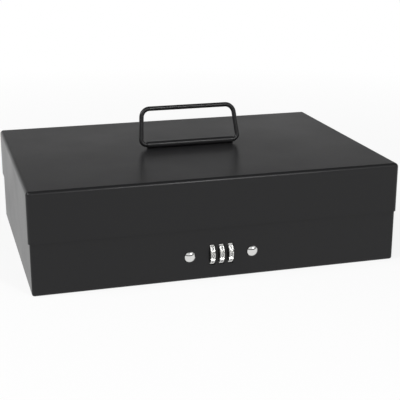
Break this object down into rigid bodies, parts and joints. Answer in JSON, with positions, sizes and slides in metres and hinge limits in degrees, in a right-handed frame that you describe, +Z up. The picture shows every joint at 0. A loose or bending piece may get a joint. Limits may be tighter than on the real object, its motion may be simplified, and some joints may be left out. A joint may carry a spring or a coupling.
{
  "type": "cash box",
  "caption": "Low sheet-steel cash box with a hinged lid, folding wire handle, lift-out money tray and a combination lock of number dials between two dome knobs.",
  "frame": {"origin": "middle of the flat underside of the base, on the surface the box stands on", "axes": "+X to the right along the long side, -Y out of the front with the dials, +Z up"},
  "size_m": [0.4, 0.2897, 0.1559],
  "materials": {
    "black_powder_coat": "satin black powder coat with a very fine texture",
    "dial_metal": "nickel-plated die-cast dial with dark numbers",
    "knob_chrome": "polished chrome dome",
    "lock_steel": "bright zinc-plated sheet steel",
    "hub_brass": "turned brass",
    "tray_plastic": "fine-grained black moulded plastic"
  },
  "bodies": {
    "base": {"base_shell": "black_powder_coat", "hinge_leaf_base_left": "black_powder_coat", "hinge_leaf_base_right": "black_powder_coat", "hinge_pin_left": "lock_steel", "hinge_pin_right": "lock_steel", "tray_rail_left": "black_powder_coat", "tray_rail_right": "black_powder_coat", "lock_case": "lock_steel", "lock_studs": "lock_steel", "lock_nuts": "lock_steel", "dial_cradle": "lock_steel", "dial_spindle": "lock_steel", "spindle_spacers": "hub_brass", "spindle_clips": "lock_steel", "detent_spring": "lock_steel"},
    "lid": {"lid_shell": "black_powder_coat", "lid_catch": "black_powder_coat", "hinge_leaf_lid_left": "black_powder_coat", "hinge_leaf_lid_right": "black_powder_coat", "handle_bracket": "black_powder_coat"},
    "handle": {"handle": "black_powder_coat"},
    "left_dial": {"dial_left": "dial_metal", "hub_left": "hub_brass"},
    "middle_dial": {"dial_middle": "dial_metal", "hub_middle": "hub_brass"},
    "right_dial": {"dial_right": "dial_metal", "hub_right": "hub_brass"},
    "latch": {"latch_plate": "lock_steel", "fence_comb": "lock_steel", "knob_left": "knob_chrome", "knob_right": "knob_chrome"},
    "tray": {"cash_tray": "tray_plastic"}
  },
  "joints": [
    {"name": "lid_hinge", "type": "hinge", "parent": "base", "child": "lid", "pos_m": [0, 0.1434, 0.056], "axis": [-1, 0, 0], "range_deg": [0, 105]},
    {"name": "handle_fold", "type": "hinge", "parent": "lid", "child": "handle", "pos_m": [0, 0, 0.1139], "axis": [1, 0, 0], "range_deg": [-74, 106]},
    {"name": "latch_slide", "type": "slide", "parent": "base", "child": "latch", "axis": [1, 0, 0], "range_m": [0, 0.003]},
    {"name": "tray_lift", "type": "slide", "parent": "base", "child": "tray", "axis": [0, 0, 1], "range_m": [0, 0.04]},
    {"name": "left_dial_turn", "type": "hinge", "parent": "base", "child": "left_dial", "pos_m": [-0.01, -0.1316, 0.0265], "axis": [1, 0, 0], "continuous": true},
    {"name": "middle_dial_turn", "type": "hinge", "parent": "base", "child": "middle_dial", "pos_m": [0, -0.1316, 0.0265], "axis": [1, 0, 0], "continuous": true},
    {"name": "right_dial_turn", "type": "hinge", "parent": "base", "child": "right_dial", "pos_m": [0.01, -0.1316, 0.0265], "axis": [1, 0, 0], "continuous": true}
  ]
}
